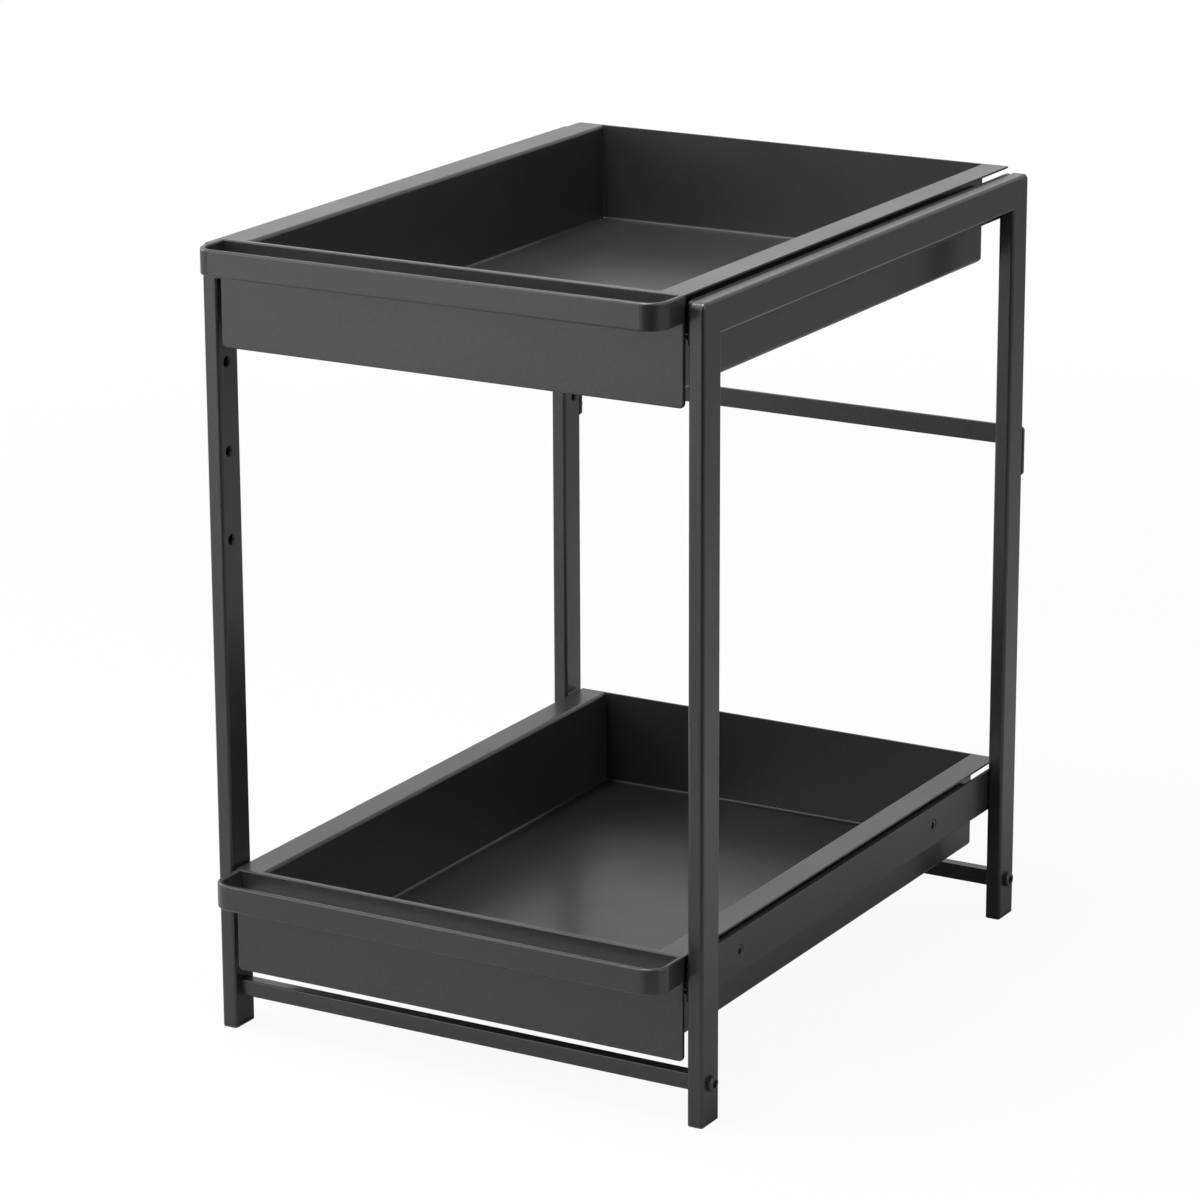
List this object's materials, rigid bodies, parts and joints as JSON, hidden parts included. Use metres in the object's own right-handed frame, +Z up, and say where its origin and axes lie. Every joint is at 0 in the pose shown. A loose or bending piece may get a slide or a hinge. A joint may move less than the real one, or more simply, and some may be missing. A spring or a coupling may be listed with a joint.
{
  "type": "under sink organizer",
  "caption": "Free-standing tiered organizer: flat-tube side frames that carry pull-out sheet-metal trays with full-width handle loops on ball-bearing slides.",
  "frame": {"origin": "on the floor, under the middle of the whole object's outline", "axes": "+Z up, -Y to the front, where the handles are and the drawers come out, +X to the right as seen from the front"},
  "size_m": [0.3304, 0.4428, 0.4785],
  "materials": {
    "frame_coat": "black powder coat, semi-matt, fine texture",
    "drawer_coat": "black powder coat, semi-matt, fine texture",
    "slide_steel": "black electro-coat over rolled steel",
    "cage_steel": "zinc-plated strip",
    "ball_steel": "polished bearing steel",
    "screw_steel": "black oxide on steel",
    "foot_plastic": "moulded black plastic"
  },
  "bodies": {
    "frame": {"left_front_post": "frame_coat", "left_rear_post": "frame_coat", "right_front_post": "frame_coat", "right_rear_post": "frame_coat", "left_top_rail": "frame_coat", "right_top_rail": "frame_coat", "left_front_foot_cap": "foot_plastic", "left_rear_foot_cap": "foot_plastic", "right_front_foot_cap": "foot_plastic", "right_rear_foot_cap": "foot_plastic", "front_crossbar": "frame_coat", "rear_crossbar": "frame_coat", "back_brace": "frame_coat", "crossbar_screws": "screw_steel", "brace_screws": "screw_steel", "upper_left_runner_plate": "frame_coat", "upper_left_outer_slide": "slide_steel", "upper_right_runner_plate": "frame_coat", "upper_right_outer_slide": "slide_steel", "upper_plate_screws": "screw_steel", "upper_slide_screws": "screw_steel", "lower_left_runner_plate": "frame_coat", "lower_left_outer_slide": "slide_steel", "lower_right_runner_plate": "frame_coat", "lower_right_outer_slide": "slide_steel", "lower_plate_screws": "screw_steel", "lower_slide_screws": "screw_steel"},
    "upper_drawer": {"upper_tray": "drawer_coat", "upper_front_panel": "drawer_coat", "upper_handle": "drawer_coat", "upper_left_tray_carrier": "drawer_coat", "upper_left_inner_slide": "slide_steel", "upper_right_tray_carrier": "drawer_coat", "upper_right_inner_slide": "slide_steel", "upper_carrier_screws": "screw_steel"},
    "upper_cages": {"upper_left_ball_cage": "cage_steel", "upper_right_ball_cage": "cage_steel", "upper_slide_balls": "ball_steel"},
    "lower_drawer": {"lower_tray": "drawer_coat", "lower_front_panel": "drawer_coat", "lower_handle": "drawer_coat", "lower_left_tray_carrier": "drawer_coat", "lower_left_inner_slide": "slide_steel", "lower_right_tray_carrier": "drawer_coat", "lower_right_inner_slide": "slide_steel", "lower_carrier_screws": "screw_steel"},
    "lower_cages": {"lower_left_ball_cage": "cage_steel", "lower_right_ball_cage": "cage_steel", "lower_slide_balls": "ball_steel"}
  },
  "joints": [
    {"name": "upper_drawer_slide", "type": "slide", "parent": "frame", "child": "upper_drawer", "axis": [0, -1, 0], "range_m": [0, 0.25]},
    {"name": "upper_cage_slide", "type": "slide", "parent": "frame", "child": "upper_cages", "axis": [0, -1, 0], "range_m": [0, 0.125]},
    {"name": "lower_drawer_slide", "type": "slide", "parent": "frame", "child": "lower_drawer", "axis": [0, -1, 0], "range_m": [0, 0.25]},
    {"name": "lower_cage_slide", "type": "slide", "parent": "frame", "child": "lower_cages", "axis": [0, -1, 0], "range_m": [0, 0.125]}
  ],
  "couplings": [
    {"joint": "upper_cage_slide", "follows": "upper_drawer_slide", "ratio": 0.5},
    {"joint": "lower_cage_slide", "follows": "lower_drawer_slide", "ratio": 0.5}
  ]
}
